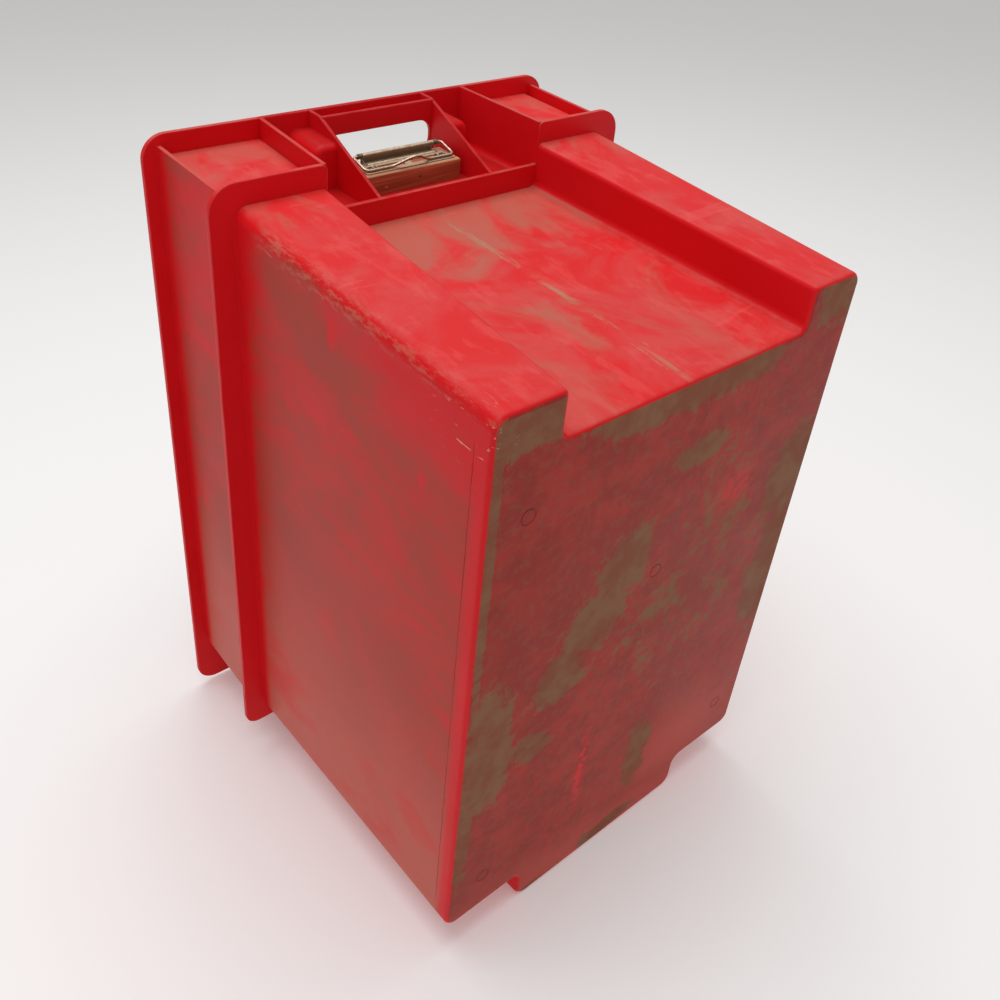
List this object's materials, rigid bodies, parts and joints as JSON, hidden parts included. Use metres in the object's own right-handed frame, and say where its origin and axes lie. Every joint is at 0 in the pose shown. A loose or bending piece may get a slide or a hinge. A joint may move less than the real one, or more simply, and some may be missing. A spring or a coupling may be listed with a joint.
{
  "type": "stack and nest container",
  "caption": "Moulded stack-and-nest transport container standing on end, with a wooden block and a sprung wire document clip in its end grip.",
  "frame": {"origin": "middle of the bounding box's lowest plane, with the container standing on its tail end", "axes": "+Z along the container's length, from the tongue end to the end with the grip and the clip; +X across its width; +Y the way its mouth opens, so the base panel faces -Y"},
  "size_m": [0.4, 0.4, 0.6],
  "materials": {
    "container_plastic": "semi-matt moulded polyethylene, dusty and scuffed",
    "block_wood": "worn red-brown wood",
    "clip_plate_steel": "dulled plated steel with rust spots",
    "clip_wire_steel": "dulled plated wire",
    "spring_steel": "dull spring wire",
    "screw_steel": "dulled zinc plating"
  },
  "bodies": {
    "root": {"container_body": "container_plastic", "wood_block": "block_wood", "clip_base_plate": "clip_plate_steel", "clip_torsion_springs": "spring_steel", "clip_screws": "screw_steel", "block_screws": "screw_steel", "block_washers": "screw_steel"},
    "bail": {"clip_wire_bail": "clip_wire_steel"}
  },
  "joints": [
    {"name": "clip_bail_hinge", "type": "hinge", "parent": "root", "child": "bail", "pos_m": [0, 0.1487, 0.5734], "axis": [-1, 0, 0], "range_deg": [0, 80], "stiffness_Nm_per_rad": 0.15, "springref_deg": -28.65}
  ]
}
